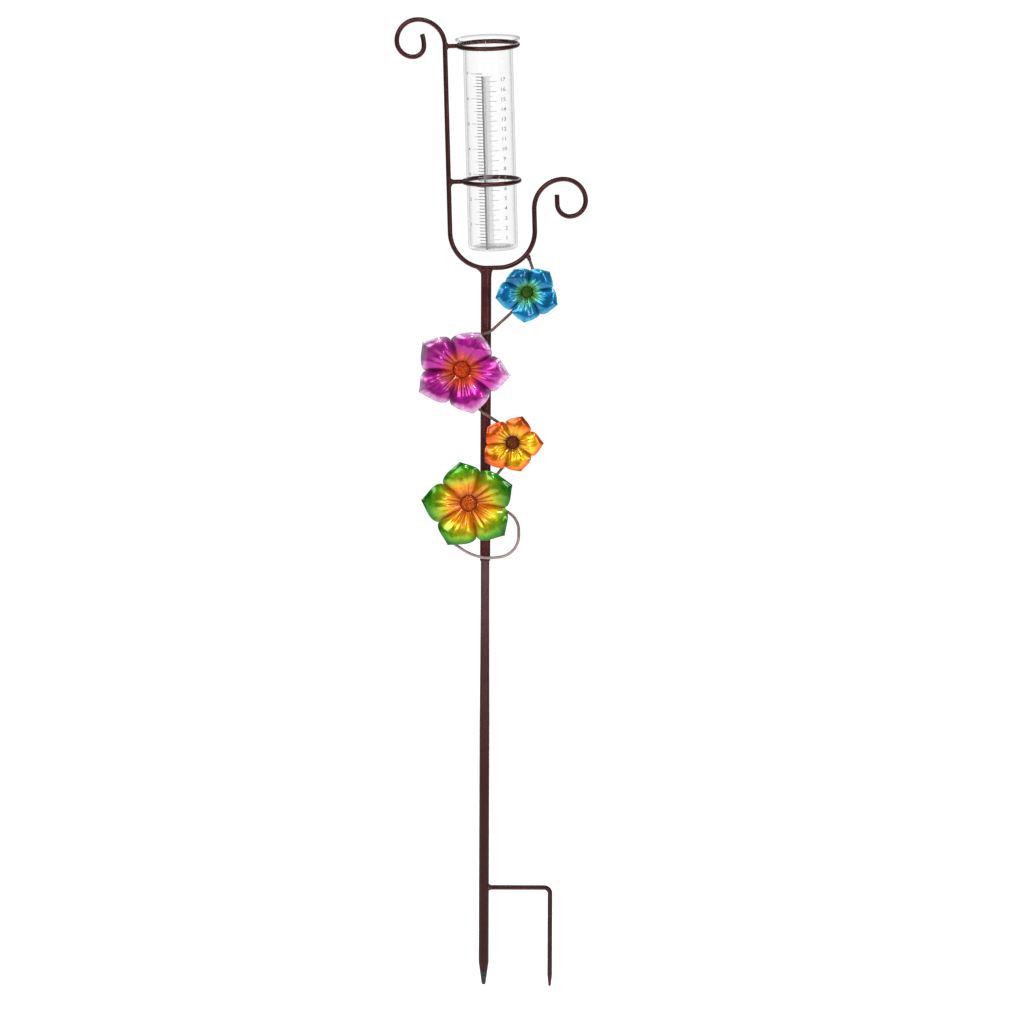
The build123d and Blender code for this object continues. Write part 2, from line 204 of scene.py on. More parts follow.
def lower_pole_paint():
    """The same paint, lighter toward the joint, worn to bare steel at the point."""
    s = Shader("LowerPolePaint")
    patches = s.noise(30, 4, 0.55)
    fine = s.noise(520, 3, 0.6)
    body = s.ramp(s.along_z(DARK_FROM, JOINT_Z), [
        (0.0, linear((50, 13, 11))),
        (0.45, linear((62, 19, 16))),
        (0.8, linear((86, 52, 54))),
        (1.0, linear((104, 72, 76))),
    ])
    tone = s.ramp(patches, [(0.3, (0.82, 0.8, 0.8)), (0.7, (1.15, 1.15, 1.15))])
    painted = s.blend(1.0, body, tone, "MULTIPLY")
    flecks = s.ramp(fine, [(0.35, (0.82, 0.8, 0.8)), (0.7, (1.2, 1.18, 1.18))])
    painted = s.blend(1.0, painted, flecks, "MULTIPLY")
    above = s.along_z(WORN_FROM, WORN_TO)
    ragged = s.math("MULTIPLY", s.math("SUBTRACT", s.noise(260, 4), 0.5), 2.4)
    edge = s.math("ADD", above, ragged)
    worn = s.grey_ramp(edge, [(0.35, 1.0), (0.65, 0.0)])
    steel = s.ramp(s.noise(420, 5, 0.65), [(0.3, linear((30, 32, 32))), (0.7, linear((68, 70, 70)))])
    s.feed("Base Color", s.blend(worn, painted, steel))
    s.feed("Metallic", s.math("ADD", s.math("MULTIPLY", worn, 0.3), 0.6))
    s.feed("Roughness", s.grey_ramp(s.noise(140, 4), [(0.3, 0.32), (0.75, 0.5)]))
    s.set(Coat_Weight=0.15, Coat_Roughness=0.25, Specular_IOR_Level=0.35)
    s.height((fine, 0.00012, 0.5), (s.noise(1900, 2), 0.00004, 0.5))
    return s


VINE_FOOT = 330.0 * MM       # the wire's paint goes from pale to dark between these heights
VINE_HEAD = 620.0 * MM


def dark_wire():
    """Thin bent wire: satin grey-brown paint with rubbed, lighter patches, paler low down."""
    s = Shader("DarkWire")
    patches = s.noise(60, 4, 0.6)
    low = s.ramp(patches, [(0.3, linear((132, 108, 108))), (0.7, linear((178, 156, 154)))])
    high = s.ramp(patches, [(0.3, linear((84, 60, 56))), (0.7, linear((132, 100, 92)))])
    up = s.grey_ramp(s.along_z(VINE_FOOT, VINE_HEAD), [(0.1, 0.0), (0.4, 1.0)])
    s.feed("Base Color", s.blend(up, low, high))
    s.feed("Roughness", s.grey_ramp(s.noise(200, 3), [(0.3, 0.3), (0.7, 0.48)]))
    s.set(Metallic=0.45, Coat_Weight=0.2, Coat_Roughness=0.2)
    s.height((s.noise(900, 3), 0.00006, 0.5))
    return s


def lacquer(name, rough=0.33, metallic=0.85, coat=0.7, crumple=200.0, depth=0.00011):
    """Clear tinted lacquer on crinkled foil-bright metal. The tint is painted on the points, with painted
    shade and light in it as well as colour.
    Crumple is how fine the crinkles are, and depth how deep, in metres."""
    s = Shader(name)
    tint = s.node("ShaderNodeAttribute", attribute_name="tint").outputs["Color"]
    mottle = s.noise(150, 5, 0.6)
    flecks = s.noise(crumple * 4, 3, 0.6)
    shade = s.ramp(mottle, [(0.28, (0.72, 0.72, 0.72)), (0.72, (1.25, 1.25, 1.25))])
    sparkle = s.ramp(flecks, [(0.4, (0.9, 0.9, 0.9)), (0.72, (1.2, 1.2, 1.2))])
    colour = s.blend(1.0, s.blend(1.0, tint, shade, "MULTIPLY"), sparkle, "MULTIPLY")
    s.feed("Base Color", colour)
    s.feed("Roughness", s.grey_ramp(s.noise(90, 3), [(0.3, rough - 0.05), (0.7, rough + 0.1)]))
    s.set(Metallic=metallic, Specular_IOR_Level=0.1)
    s.set(Coat_Weight=coat, Coat_Roughness=0.06, Coat_IOR=1.5)
    s.height((s.noise(crumple, 4, 0.55), depth, 0.7))
    skin = s.node("ShaderNodeBump")
    skin.inputs["Distance"].default_value = 0.00012
    skin.inputs["Strength"].default_value = 0.4
    s.link(s.noise(90, 2), skin.inputs["Height"])
    s.feed("Coat Normal", skin.outputs["Normal"])
    return s


def rivet_steel():
    """Plain brushed steel of the rivets."""
    s = Shader("RivetSteel")
    s.feed("Base Color", s.ramp(s.noise(600, 4), [(0.3, (0.28, 0.27, 0.26)), (0.7, (0.5, 0.49, 0.47))]))
    s.feed("Roughness", s.grey_ramp(s.noise(900, 3), [(0.3, 0.28), (0.7, 0.45)]))
    s.set(Metallic=1.0)
    s.height((s.noise(1500, 3), 0.00004, 0.6))
    return s


def clear_glass():
    """Clear glass: it shows what is behind it, greyer where the wall is seen edge on, and
    reflects more there, with the faintest drawing ripples along its length. The tint painted
    on its points darkens the lip: painted shade standing in for the darker look of the thick rolled rim."""
    s = Shader("ClearGlass")
    stretch = s.node("ShaderNodeMapping")
    stretch.inputs["Scale"].default_value = (1.0, 1.0, 0.12)
    s.link(s.coords, stretch.inputs["Vector"])
    s.set(Base_Color=(0.93, 0.94, 0.94, 1.0), Metallic=1.0)
    s.feed("Roughness", s.grey_ramp(s.noise(40, 2), [(0.3, 0.02), (0.7, 0.06)]))
    normal = s.height((s.noise(60, 2, 0.4, stretch.outputs[0]), 0.00004, 0.25))
    edge = s.node("ShaderNodeLayerWeight")
    edge.inputs["Blend"].default_value = 0.5
    clear = s.node("ShaderNodeBsdfTransparent")
    s.link(normal, edge.inputs["Normal"])
    facing = edge.outputs["Facing"]
    through = s.grey_ramp(facing, [(0.0, 0.992), (0.5, 0.978), (0.8, 0.89), (1.0, 0.64)])
    tint = s.node("ShaderNodeAttribute", attribute_name="tint").outputs["Color"]
    s.link(s.blend(1.0, through, tint, "MULTIPLY"), clear.inputs["Color"])
    gloss = s.grey_ramp(facing, [(0.0, 0.008), (0.5, 0.022), (0.78, 0.09), (1.0, 0.48)])
    both = s.node("ShaderNodeMixShader")
    s.link(gloss, both.inputs[0])
    s.link(clear.outputs[0], both.inputs[1])
    s.link(s.main.outputs[0], both.inputs[2])
    s.link(both.outputs[0], s.tree.nodes["Material Output"].inputs["Surface"])
    return s


def print_ink():
    """Worn grey ink of the printed scale."""
    s = Shader("PrintInk")
    dark, pale = linear((132, 131, 131)), linear((158, 157, 157))
    s.feed("Base Color", s.ramp(s.noise(800, 3), [(0.3, dark), (0.7, pale)]))
    s.set(Roughness=0.5)
    s.height((s.noise(2500, 2), 0.00001, 0.4))
    return s


BRONZE = bronze_paint("BronzePaint", linear((62, 28, 30)), linear((86, 43, 46)))
PRONG_BRONZE = bronze_paint("ProngBronze", linear((44, 18, 20)), linear((72, 34, 37)))
POLE_BRONZE = bronze_paint("PoleBronze", linear((80, 38, 40)), linear((120, 61, 64)), rough=0.24)
WELD_BRONZE = bronze_paint("WeldBronze", linear((64, 33, 33)), linear((96, 54, 54)), rough=0.4)
LOWER_PAINT = lower_pole_paint()
WIRE = dark_wire()
STEEL = rivet_steel()
GLASS = clear_glass()
INK = print_ink()


def dress(node, shader):
    """Gives a CAD node its material."""
    mesh = nodes[node].data
    mesh.materials.clear()
    mesh.materials.append(shader.material)


for name in ("scroll_frame", "upper_ring", "lower_ring"):
    dress(name, BRONZE)
dress("ground_prong", PRONG_BRONZE)
dress("upper_pole", POLE_BRONZE)
dress("lower_pole", LOWER_PAINT)
for name in ("flower_vine", "spiral_vine"):
    dress(name, WIRE)


# ---------------------------------------------------------------- mesh helpers
def make_object(name, mesh, shader, place=None):
    """An object for a mesh, with smooth faces and a material; place moves its points first."""
    if place is not None:
        mesh.transform(place)
    for p in mesh.polygons:
        p.use_smooth = True
    mesh.materials.append(shader.material)
    obj = bpy.data.objects.new(name, mesh)
    bpy.context.scene.collection.objects.link(obj)
    return obj


def mesh_from(name, points, faces):
    """A new mesh of points and faces."""
    mesh = bpy.data.meshes.new(name)
    mesh.from_pydata(points, [], faces)
    mesh.update()
    return mesh


def paint(mesh, colours):
    """Writes one colour for each point, for the tint that lacquer and glass read."""
    layer = mesh.attributes.new("tint", "FLOAT_COLOR", "POINT")
    flat = [v for c in colours for v in (*c, 1.0)]
    layer.data.foreach_set("color", flat)


def circle(radius, z, cols):
    """Points round the z axis."""
    turns = [2 * math.pi * j / cols for j in range(cols)]
    return [(radius * math.cos(a), radius * math.sin(a), z) for a in turns]


def rings_to_faces(rings, cols, offset=0):
    """Quads between rings of points, cols points to a ring, from the point offset on."""
    faces = []
    for i in range(rings - 1):
        low = offset + i * cols
        high = low + cols
        for j in range(cols):
            k = (j + 1) % cols
            faces.append((low + j, low + k, high + k, high + j))
    return faces


# ---------------------------------------------------------------- flowers
class Flower:
    """Petals are (direction in degrees, tip radius in mm), and notches (direction, radius in mm)
    between one petal and the next, seen from the front. For each petal a pair gives how far its
    colours are drawn in toward the middle, and a brightness that paints light on some petals and
    shade on others. Its middle is at x and z, in mm, and tilt turns it a few degrees about its own axes."""

    def __init__(self, name, x, z, button_r, tilt, petals, notches, moods, seed):
        self.name = name
        self.x = x
        self.z = z
        self.button_r = button_r * MM
        self.petals = [(a, r * MM) for a, r in petals]
        self.notches = [(a, r * MM) for a, r in notches]
        self.moods = moods
        self.radius = max(r for _, r in petals) * MM
        self.seed = seed
        back = VINE_Y - VINE_R - RIVET_GAP
        facing = Matrix(((1, 0, 0, x * MM), (0, 0, -1, back), (0, 1, 0, z * MM), (0, 0, 0, 1)))
        turn = (
            Matrix.Rotation(math.radians(tilt[0]), 4, "X")
            @ Matrix.Rotation(math.radians(tilt[1]), 4, "Y")
            @ Matrix.Rotation(math.radians(tilt[2]), 4, "Z")
        )
        self.place = facing @ turn


FLOWERS = [
    Flower(
        "blue", 40.9, 610.4, 6.3, (-2, 3, 0),
        [(43, 30.6), (119, 26.9), (189.5, 32.3), (264, 30.4), (338, 33.0)],
        [(82.5, 21.3), (154, 23.8), (228, 22.0), (301, 24.3), (9.5, 24.6)],
        [(0.0, 1.05), (0.0, 0.74), (0.0, 1.0), (-0.09, 1.05), (0.0, 1.12)], 11,
    ),
    Flower(
        "purple", -24.2, 532.0, 9.2, (-2, -2, 0),
        [(64, 42.0), (144.5, 48.0), (208, 48.3), (285, 45.8), (353.5, 49.6)],
        [(110, 30.8), (182, 35.2), (248.7, 31.8), (323.3, 34.3), (24.8, 31.8)],
        [(0.0, 0.95), (0.03, 0.92), (0.0, 0.9), (0.0, 1.04), (0.07, 1.22)], 23,
    ),
    Flower(
        "orange", 27.1, 458.0, 7.0, (-1, 3, 0),
        [(-1, 31.0), (70.7, 28.6), (146, 30.6), (215, 34.2), (285.6, 29.6)],
        [(33, 20.2), (111, 20.6), (184, 24.2), (252, 24.0), (324.6, 21.7)],
        [(-0.12, 1.1), (0.12, 0.9), (0.2, 0.95), (0.05, 1.0), (-0.12, 1.05)], 37,
    ),
    Flower(
        "green", -16.8, 396.5, 8.8, (-2, -2, 0),
        [(23.6, 48.2), (101.4, 42.8), (176, 47.4), (243.8, 46.4), (319, 48.4)],
        [(69.4, 32.8), (142.5, 31.0), (212.5, 34.2), (283.7, 34.1), (353.8, 35.6)],
        [(0.06, 0.85), (0.04, 0.95), (0.05, 1.0), (-0.02, 1.0), (0.02, 1.0)], 41,
    ),
]

# Colours from a petal's base to its tip, the painted shade of its valleys, and the colours of its rim and
# point, as 0-255 sRGB.
TINTS = {
    "blue": {
        "along": [
            (0.16, (34, 84, 10)), (0.28, (74, 150, 60)), (0.36, (92, 190, 170)),
            (0.46, (18, 138, 174)), (0.62, (3, 114, 170)), (0.88, (2, 106, 162)), (1.0, (24, 146, 188)),
        ],
        "valley": (0, 52, 84), "rim": (48, 166, 196), "tip": (10, 108, 158),
        "centre": [(0.0, (46, 76, 8)), (0.6, (52, 88, 12)), (1.0, (30, 62, 8))],
    },
    "purple": {
        "along": [
            (0.16, (172, 42, 6)), (0.28, (206, 76, 20)), (0.39, (200, 56, 92)),
            (0.5, (182, 26, 144)), (0.72, (178, 26, 144)), (0.86, (180, 66, 152)), (1.0, (192, 138, 182)),
        ],
        "valley": (84, 8, 60), "rim": (204, 164, 198), "tip": (200, 162, 192),
        "centre": [(0.0, (186, 50, 6)), (0.6, (194, 60, 8)), (1.0, (150, 32, 8))],
    },
    "orange": {
        "along": [
            (0.2, (104, 44, 8)), (0.3, (222, 150, 10)), (0.44, (250, 196, 12)),
            (0.64, (244, 158, 4)), (0.82, (236, 108, 2)), (1.0, (218, 78, 2)),
        ],
        "valley": (150, 54, 2), "rim": (222, 84, 2), "tip": (128, 34, 4),
        "centre": [(0.0, (92, 36, 10)), (0.6, (106, 44, 14)), (1.0, (70, 26, 8))],
    },
    "green": {
        "along": [
            (0.18, (184, 76, 2)), (0.3, (226, 122, 4)), (0.46, (238, 156, 4)),
            (0.58, (202, 184, 8)), (0.72, (134, 176, 8)), (0.88, (56, 144, 4)), (1.0, (10, 98, 2)),
        ],
        "valley": (150, 74, 2), "rim": (22, 112, 4), "tip": (2, 66, 4),
        "centre": [(0.0, (182, 74, 6)), (0.6, (192, 84, 8)), (1.0, (150, 52, 6))],
    },
}
HALF_STEPS = 24          # points from a notch to a tip
RING_STEPS = 40          # rows from the rivet hole to the rim
RIM_CROWDING = 1.25      # above 1 the rows stand closer together near the rim
ROUND_SHARE = 0.63       # how much of a petal's outline is round; the rest goes to its point
SHEET_THICK = 0.55 * MM
SHEET_ROLL = 0.22 * MM   # how far the rim is rolled out beyond the sheet
HOLE_R = 1.5 * MM

# The stamped relief. Heights are parts of the petals' rise, itself a part of the flower's radius.
PETAL_RISE = 0.2
CREST_AT = 0.66          # part of the petal's length at which it stands highest
POINT_DROOP = 0.3
VALLEY_DEPTH = 0.66
VALLEY_POWER = 2.6       # above 1 the valleys between petals are narrow
RIM_CURL = 0.14
FOLD_DEPTH = 0.13
FOLD_AT = 0.4            # middle of the folds along the petal, and their half length
FOLD_REACH = 0.22
FOLD_WIDTH = 0.12
FOLD_DRIFT = 0.08
FOLDS = ((0.0, 1.0), (-0.4, 0.85), (0.42, 0.85))     # place across the petal, depth
WAVE_DEPTH = 0.2
WAVE_SCALE = 3.1


def colour_at(stops, u):
    """The colour of a list of stops at u."""
    if u <= stops[0][0]:
        return linear(stops[0][1])
    for (a, ca), (b, cb) in zip(stops, stops[1:]):
        if u <= b:
            return mix(linear(ca), linear(cb), (u - a) / (b - a))
    return linear(stops[-1][1])


def petal_rays(flower):
    """Rays from the middle to the outline: (angle, outline radius, place across the petal from
    -1 to 1, petal's index, length scale)."""
    rays = []
    count = len(flower.petals)
    for i, (tip_angle, tip_r) in enumerate(flower.petals):
        before, after = flower.notches[i - 1], flower.notches[i]
        for side, (notch_angle, notch_r), neighbour in (
            (-1, before, flower.petals[i - 1]),
            (1, after, flower.petals[(i + 1) % count]),
        ):
            turn = (notch_angle - tip_angle + 180) % 360 - 180
            steps = range(HALF_STEPS, 0, -1) if side < 0 else range(HALF_STEPS)
            for k in steps:
                t = 0.5 - 0.5 * math.cos(math.pi * k / HALF_STEPS)
                swell = ROUND_SHARE * math.sqrt(1 - t * t) + (1 - ROUND_SHARE) * (1 - t) ** 4
                r = notch_r + (tip_r - notch_r) * swell
                scale = tip_r + (0.5 * (tip_r + neighbour[1]) - tip_r) * t * t
                rays.append((math.radians(tip_angle + turn * t), r, side * t, i, scale))
    return rays


def petal_height(flower, u, t, rho, i, angle):
    """Height of the sheet at u along a petal, t across it and rho of the way to the rim."""
    rise = PETAL_RISE * flower.radius
    start = 0.8 * flower.button_r / flower.radius
    climb = min(1.0, max(0.0, (u - start) / (CREST_AT - start)))
    height = rise * math.sin(0.5 * math.pi * climb)
    height -= POINT_DROOP * rise * smooth(0.7, 1.02, u)
    valley = abs(t) ** VALLEY_POWER
    height *= 1 - VALLEY_DEPTH * valley
    curl = smooth(0.8, 1.0, rho) * (1 - valley)
    height -= RIM_CURL * rise * curl * curl
    along = math.exp(-((u - FOLD_AT) / FOLD_REACH) ** 2)
    shift = FOLD_DRIFT * math.sin(2.3 * i + flower.seed)
    for place, deep in FOLDS:
        across = math.exp(-(((t - place - shift) / FOLD_WIDTH) ** 2))
        height -= FOLD_DEPTH * rise * deep * along * across
    x, y = WAVE_SCALE * math.cos(angle) * u, WAVE_SCALE * math.sin(angle) * u
    wave = noise.noise(Vector((flower.seed + x, y, i * 1.7)))
    height += WAVE_DEPTH * rise * wave * smooth(0.35, 0.9, u)
    return height


def ray_noise(angle, scale, depth):
    """Noise that changes from one ray to the next, and with depth."""
    return noise.noise(Vector((scale * math.cos(angle), scale * math.sin(angle), depth)))


def petal_tint(flower, u, t, rho, i, angle):
    """The lacquer's colour at the same place: along the petal, then painted shade in the valleys between
    petals, then rim and point, with each petal's painted light and shade.
    """
    look = TINTS[flower.name]
    ragged = 0.05 * ray_noise(angle, 7, flower.seed + 4 * u)
    streak = ray_noise(angle, 16, flower.seed * 2 + 1.5 * u)
    frost = 0.03 * ray_noise(angle, 9, flower.seed * 3)
    # The second of each pair is painted light on the brighter petals and painted shade on the darker
    # ones.
    drawn_in, painted_light = flower.moods[i]
    across = abs(t)
    on_petal = 1 - smooth(0.72, 1.0, across)
    along = u + ragged + 0.08 * streak + drawn_in * on_petal * smooth(0.25, 0.6, u)
    # Painted shade: the valleys between petals are darkened toward the valley colour.
    valley = 0.55 * smooth(0.74, 1.0, across) * smooth(0.2, 0.5, u) * (1 - smooth(0.9, 1.0, rho))
    rim = 0.8 * smooth(0.82, 0.98, rho + frost) * (1 - 0.6 * smooth(0.8, 1.0, across))
    point = smooth(0.86, 1.0, u) * (1 - smooth(0.0, 0.35, across))
    colour = colour_at(look["along"], along)
    for part, amount in (("valley", valley), ("rim", rim), ("tip", point)):
        colour = mix(colour, linear(look[part]), amount)
    # Random streaks, times each petal's painted light and shade.
    streaks_and_painted_light = (1 + 0.2 * streak * smooth(0.15, 0.4, u)) * (1 + (painted_light - 1) * on_petal)
    return tuple(c * streaks_and_painted_light for c in colour)


def make_petals(flower):
    """The stamped sheet: front and back surfaces, the rivet's hole and a rolled rim."""
    rays = petal_rays(flower)
    cols = len(rays)
    rows = RING_STEPS + 1
    front, back, tints = [], [], []
    for row in range(rows):
        rho = 1 - (1 - row / RING_STEPS) ** RIM_CROWDING
        for angle, outline, t, i, scale in rays:
            r = HOLE_R + (outline - HOLE_R) * rho
            u = r / scale
            z = RIVET_HEAD + petal_height(flower, u, t, rho, i, angle)
            x, y = r * math.cos(angle), r * math.sin(angle)
            front.append((x, y, z + SHEET_THICK))
            back.append((x, y, z))
            tints.append(petal_tint(flower, u, t, rho, i, angle))
    last = (rows - 1) * cols
    lip = []
    for (angle, *_), (x, y, high), (_, _, low) in zip(rays, front[last:], back[last:]):
        out_x, out_y = SHEET_ROLL * math.cos(angle), SHEET_ROLL * math.sin(angle)
        lip.append((x + out_x, y + out_y, (high + low) / 2))
    points = front + back + lip
    base = len(front)
    rim = 2 * base
    faces = [f[::-1] for f in rings_to_faces(rows, cols)] + rings_to_faces(rows, cols, base)
    for j in range(cols):
        k = (j + 1) % cols
        faces.append((last + j, rim + j, rim + k, last + k))
        faces.append((rim + j, base + last + j, base + last + k, rim + k))
        faces.append((j, k, base + k, base + j))
    mesh = mesh_from(flower.name + "_petals_sheet", points, faces)
    paint(mesh, tints + tints + tints[last:])
    shader = lacquer(flower.name.capitalize() + "Lacquer")
    obj = make_object(flower.name + "_petals_sheet", mesh, shader, flower.place)
    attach(obj, "head")
    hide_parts(flower.name + "_petals")
    return obj


BUTTON_RISE = 0.34       # of the button's radius, as are the other sizes without a unit
BUTTON_GAP = 0.2 * MM    # between the sheet and the button's edge
BUTTON_EDGE = 0.1 * MM
BUTTON_ROWS = 44
BUTTON_COLS = 96
STIPPLE_COUNT = 46
STIPPLE_TURN = 2.39996   # radians from one stipple to the next, which spreads them evenly
STIPPLE_REACH = 0.88
STIPPLE_RISE = 0.09


def stipples_of(flower):
    """Places, radii and heights of the small beads, in a spiral that wavers a little."""
    rng = random.Random(flower.seed)
    r0 = flower.button_r
    stipples = []
    for k in range(STIPPLE_COUNT):
        r = r0 * STIPPLE_REACH * math.sqrt((k + 0.5) / STIPPLE_COUNT)
        a = STIPPLE_TURN * k + rng.uniform(-0.15, 0.15)
        size = r0 * rng.uniform(0.09, 0.15)
        stipples.append((r * math.cos(a), r * math.sin(a), size, rng.uniform(0.5, 1.0)))
    return stipples


def stipple_lift(stipples, x, y):
    """How far the beads lift the button at x and y, 0 to 1."""
    lift = 0.0
    for sx, sy, size, tall in stipples:
        d = ((x - sx) ** 2 + (y - sy) ** 2) / (size * size)
        if d < 5:
            lift = max(lift, tall * math.exp(-d))
    return lift


def make_centre(flower):
    """The domed button, stippled with small beads, with a straight edge round it. Its colour carries
    painted shade between the beads and painted light on their tops.
    """
    r0 = flower.button_r
    back = RIVET_HEAD + SHEET_THICK + BUTTON_GAP
    stipples = stipples_of(flower)
    rows, cols = BUTTON_ROWS, BUTTON_COLS
    points, tints = [], []
    for i in range(rows):
        rho = (i + 0.35) / (rows - 0.65)
        dome = (1 - rho * rho) ** 0.62 * (1 - 0.22 * (1 - rho) ** 2)
        colour = colour_at(TINTS[flower.name]["centre"], rho)
        for x, y, _ in circle(r0 * rho, 0, cols):
            lift = stipple_lift(stipples, x, y)
            z = back + BUTTON_RISE * r0 * dome + STIPPLE_RISE * r0 * lift * (1 - smooth(0.9, 1.0, rho))
            points.append((x, y, z))
            # Painted shade and light: darker between the beads, lighter on their tops.
            tints.append(tuple(c * (0.52 + 0.85 * lift) for c in colour))
    crown = len(points)
    points.append((0, 0, points[0][2]))
    tints.append(tints[0])
    foot = len(points)
    last = (rows - 1) * cols
    points += circle(r0, back - BUTTON_EDGE, cols)
    tints += [tints[last]] * cols
    faces = [f[::-1] for f in rings_to_faces(rows, cols)]
    faces += [(crown, j, (j + 1) % cols) for j in range(cols)]
    for j in range(cols):
        k = (j + 1) % cols
        faces.append((last + j, foot + j, foot + k, last + k))
    faces.append(tuple(range(foot + cols - 1, foot - 1, -1)))
    mesh = mesh_from(flower.name + "_button", points, faces)
    paint(mesh, tints)
    name = flower.name.capitalize() + "ButtonLacquer"
    shader = lacquer(name, rough=0.34, metallic=0.6, coat=0.15, crumple=700.0, depth=0.0001)
    obj = make_object(flower.name + "_button", mesh, shader, flower.place)
    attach(obj, "head")
    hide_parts(flower.name + "_centre")
    return obj


for flower in FLOWERS:
    make_petals(flower)
    make_centre(flower)
    dress(flower.name + "_rivet", STEEL)


# ---------------------------------------------------------------- welds
WELD_ROUGH = 0.16        # how uneven a lump is
WELD_GRAIN = 0.32 * MM   # what melts together when closer than this
FLARE_STEPS = 12
FLARE_COLS = 48


def lumpy(bm, centre, half, seed):
    """Adds a lump of weld: a ball pulled to its half sizes, with a rippled, spattered skin."""
    made = bmesh.ops.create_icosphere(bm, subdivisions=4, radius=1.0)
    for v in made["verts"]:
        n = v.co.normalized()
        ripple = noise.noise(n * 1.9 + Vector((seed, 0, 0)))
        spatter = noise.noise(n * 5.2 + Vector((0, seed, 0)))
        size = 1 + WELD_ROUGH * (ripple + 0.45 * spatter)
        v.co = Vector([n[k] * half[k] * size for k in range(3)]) + Vector(centre)


def flared(bm, sections):
    """Adds a solid through level ovals: (middle x, half x, half y, height) in mm."""
    rings = []
    for x, half_x, half_y, z in sections:
        oval = [(x + half_x * cx, half_y * cy, z) for cx, cy, _ in circle(1.0, 0, FLARE_COLS)]
        rings.append([bm.verts.new([v * MM for v in point]) for point in oval])
    for low, high in zip(rings, rings[1:]):
        for j in range(FLARE_COLS):
            k = (j + 1) % FLARE_COLS
            bm.faces.new((low[j], low[k], high[k], high[j]))
    bm.faces.new(rings[0][::-1])
    bm.faces.new(rings[-1])


def weld_piece(name, lumps, node, body, shader, place=None, flare=()):
    """Lumps of weld, in mm, melted into one another, with a faint ripple left in the skin."""
    bm = bmesh.new()
    if flare:
        flared(bm, flare)
    for k, (centre, half) in enumerate(lumps):
        lumpy(bm, [c * MM for c in centre], [h * MM for h in half], 3.7 * k + len(name))
    rough = bpy.data.meshes.new(name + "_lumps")
    bm.to_mesh(rough)
    bm.free()
    source = bpy.data.objects.new(name + "_lumps", rough)
    bpy.context.scene.collection.objects.link(source)
    melt = source.modifiers.new("melt", "REMESH")
    melt.mode = "VOXEL"
    melt.voxel_size = WELD_GRAIN
    even = source.modifiers.new("even", "SMOOTH")
    even.factor = 0.5
    even.iterations = 10
    bpy.context.view_layer.update()
    melted = source.evaluated_get(bpy.context.evaluated_depsgraph_get())
    mesh = bpy.data.meshes.new_from_object(melted)
    mesh.name = name
    bpy.data.objects.remove(source)
    bpy.data.meshes.remove(rough)
    obj = make_object(name, mesh, shader, place)
    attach(obj, body)
    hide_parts(node)
    return obj


weld_piece(
    "prong_weld_bead",
    [((4.6, 0, 4.6), (2.4, 3.6, 3.7)), ((6.2, 0, 4.5), (2.2, 2.9, 2.9))],
    "prong_weld", "stake", WELD_BRONZE,
)
frame_lumps = [
    ((-2.4, -3.0, -1.4), (2.6, 2.2, 1.8)),
    ((2.0, -3.0, -1.6), (2.6, 2.1, 1.7)),
    ((0, 3.0, -1.5), (4.4, 2.2, 1.8)),
]


def frame_flare():
    """The smooth part of the frame's weld: it leaves the pole and spreads along the rod."""
    sections = []
    for k in range(FLARE_STEPS + 1):
        f = k / FLARE_STEPS
        left = 5.2 + 6.4 * f ** 2.8
        right = 5.2 + 3.6 * f ** 3.0
        half_y = 5.35 - 2.6 * f ** 1.5
        z = -9.6 + 8.8 * f + 1.0 * f ** 4
        sections.append(((right - left) / 2, (right + left) / 2, half_y, z))
    return sections


weld_piece("frame_weld_bead", frame_lumps, "frame_weld", "head", WELD_BRONZE, ON_HEAD, frame_flare())
upper, lower = UPPER_RING_Z / MM, LOWER_RING_Z / MM
ring_lumps = [
    ((-33.0, 0, upper), (2.2, 2.8, 3.1)),
    ((-34.0, -0.4, upper - 2.2), (1.9, 2.2, 2.4)),
    ((-34.0, -0.4, upper + 2.1), (1.8, 2.2, 2.1)),
    ((-33.0, 0, lower), (2.4, 2.9, 3.3)),
    ((-34.0, -0.4, lower - 2.5), (2.0, 2.3, 2.7)),
    ((-31.4, 0, lower - 0.1), (1.8, 2.6, 2.7)),
    ((-34.0, -0.3, lower + 2.3), (1.8, 2.2, 2.1)),
]
weld_piece("ring_weld_beads", ring_lumps, "ring_welds", "head", WELD_BRONZE, ON_HEAD)
vine_lumps = [
    ((42.0, -1.4, 645.3), (2.5, 2.3, 2.5)),
    ((43.2, -2.0, 642.8), (1.9, 1.8, 2.4)),
    ((0.3, -6.4, 568.6), (3.4, 1.6, 2.2)),
    ((0.0, -6.4, 486.4), (3.2, 1.6, 2.2)),
    ((2.6, -6.0, 414.6), (2.4, 1.8, 2.4)),
    ((-3.6, -6.0, 421.0), (2.3, 1.8, 2.4)),
    ((0.0, -6.3, 339.6), (3.2, 1.5, 1.7)),
]
for flower in FLOWERS:
    vine_lumps.append(((flower.x, VINE_Y / MM, flower.z), (2.3, 1.7, 2.3)))
weld_piece("vine_weld_beads", vine_lumps, "vine_welds", "head", WELD_BRONZE)


# ---------------------------------------------------------------- glass tube
CORNER_R = 4.0 * MM          # outer and inner rounding of the tube's base
INNER_CORNER_R = 2.8 * MM
BASE_HOLLOW = 0.5 * MM       # how far the middle of the base is drawn up
RING_GAP = 0.12 * MM         # between the flare and the ring under it
RIM_ROUND = 0.8 * MM         # how far the rounded edge reaches past the flare
WALL_STEPS = 24
FLARE_ROWS = 12
CORNER_STEPS = 8
TUBE_COLS = 128
LIP_SHADE = 0.22              # painted shade on the thick lip: how much less light it lets through
LIP_HIGH = 2.4 * MM


def arc(middle, radius, start, sweep, steps, first=1):
    """Points of an arc round middle that turns by sweep from start, both in radians."""
    turns = [start + sweep * k / steps for k in range(first, steps + 1)]
    return [(middle[0] + radius * math.cos(a), middle[1] + radius * math.sin(a)) for a in turns]


def wall(radius, start, end):
    """Points of a straight wall from one height to another."""
    return [(radius, start + (end - start) * k / WALL_STEPS) for k in range(1, WALL_STEPS + 1)]


